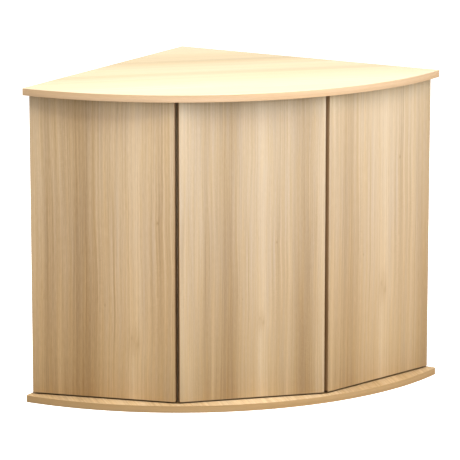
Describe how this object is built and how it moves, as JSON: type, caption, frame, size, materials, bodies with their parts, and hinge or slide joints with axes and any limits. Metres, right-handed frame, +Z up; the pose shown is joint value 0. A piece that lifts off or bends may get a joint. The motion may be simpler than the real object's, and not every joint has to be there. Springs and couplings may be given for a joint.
{
  "type": "corner aquarium cabinet",
  "caption": "Corner aquarium stand: quarter-round top and base boards on a panelled carcass, closed by flat hinged doors with concealed hinges and push latches.",
  "frame": {"origin": "on the floor, midway across the width and midway from the wall corner to the front of the arc", "axes": "+X to the right along the width, +Y to the wall corner at the back, +Z up; the doors face -Y"},
  "size_m": [0.985, 0.6999, 0.73],
  "materials": {
    "board_decor": "light ash decor on the top and base boards, satin melamine with fine grain",
    "door_decor": "light ash decor with vertical grain, satin melamine",
    "edge_band": "plastic edge banding in the same decor, satin",
    "inner_decor": "plain light decor on the inner panels, satin",
    "dowel_wood": "turned beech, unfinished",
    "nickel_steel": "nickel-plated pressed steel, satin",
    "screw_steel": "zinc-plated steel, slightly dull",
    "zinc": "die-cast zinc, matt",
    "grey_plastic": "moulded grey plastic, fine matt texture",
    "plunger_plastic": "pale grey plastic plunger with a soft tip"
  },
  "bodies": {
    "carcass": {"top_board": "board_decor", "top_edge_band": "edge_band", "base_board": "board_decor", "base_edge_band": "edge_band", "left_side_panel": "inner_decor", "right_side_panel": "inner_decor", "left_partition": "inner_decor", "right_partition": "inner_decor", "upper_back_rail": "inner_decor", "lower_back_rail": "inner_decor", "left_shelf": "inner_decor", "right_shelf": "inner_decor", "shelf_pins": "nickel_steel", "dowels": "dowel_wood", "cam_bolts": "screw_steel", "cam_locks": "zinc", "hinge_plate_screws": "screw_steel", "arm_fixing_screws": "screw_steel", "latch_screws": "screw_steel", "left_hinge_arms": "nickel_steel", "left_hinge_plates": "nickel_steel", "left_latch_housing": "grey_plastic", "left_latch_spring": "screw_steel", "middle_hinge_arms": "nickel_steel", "middle_hinge_plates": "nickel_steel", "middle_latch_housing": "grey_plastic", "middle_latch_spring": "screw_steel", "right_hinge_arms": "nickel_steel", "right_hinge_plates": "nickel_steel", "right_latch_housing": "grey_plastic", "right_latch_spring": "screw_steel"},
    "left_door": {"left_door": "door_decor", "left_door_edge_band": "edge_band", "left_hinge_cups": "nickel_steel", "left_hinge_pins": "screw_steel", "left_cup_screws": "screw_steel", "left_strike_plate": "nickel_steel"},
    "left_plunger": {"left_latch_plunger": "plunger_plastic"},
    "middle_door": {"middle_door": "door_decor", "middle_door_edge_band": "edge_band", "middle_hinge_cups": "nickel_steel", "middle_hinge_pins": "screw_steel", "middle_cup_screws": "screw_steel", "middle_strike_plate": "nickel_steel"},
    "middle_plunger": {"middle_latch_plunger": "plunger_plastic"},
    "right_door": {"right_door": "door_decor", "right_door_edge_band": "edge_band", "right_hinge_cups": "nickel_steel", "right_hinge_pins": "screw_steel", "right_cup_screws": "screw_steel", "right_strike_plate": "nickel_steel"},
    "right_plunger": {"right_latch_plunger": "plunger_plastic"}
  },
  "joints": [
    {"name": "left_door_hinge", "type": "hinge", "parent": "carcass", "child": "left_door", "pos_m": [-0.46543, -0.13276, 0.365], "axis": [0, 0, -1], "range_deg": [0, 95]},
    {"name": "middle_door_hinge", "type": "hinge", "parent": "carcass", "child": "middle_door", "pos_m": [-0.16304, -0.30079, 0.365], "axis": [0, 0, -1], "range_deg": [0, 95]},
    {"name": "right_door_hinge", "type": "hinge", "parent": "carcass", "child": "right_door", "pos_m": [0.46543, -0.13276, 0.365], "axis": [0, 0, 1], "range_deg": [0, 95]},
    {"name": "left_plunger_slide", "type": "slide", "parent": "carcass", "child": "left_plunger", "axis": [-0.5, -0.866, 0], "range_m": [0, 0.014], "deforming": ["left_latch_spring"]},
    {"name": "middle_plunger_slide", "type": "slide", "parent": "carcass", "child": "middle_plunger", "axis": [0, -1, 0], "range_m": [0, 0.014], "deforming": ["middle_latch_spring"]},
    {"name": "right_plunger_slide", "type": "slide", "parent": "carcass", "child": "right_plunger", "axis": [0.5, -0.866, 0], "range_m": [0, 0.014], "deforming": ["right_latch_spring"]}
  ],
  "couplings": [
    {"joint": "left_plunger_slide", "follows": "left_door_hinge", "m_per_rad": 0.0084},
    {"joint": "middle_plunger_slide", "follows": "middle_door_hinge", "m_per_rad": 0.0084},
    {"joint": "right_plunger_slide", "follows": "right_door_hinge", "m_per_rad": 0.0084}
  ]
}
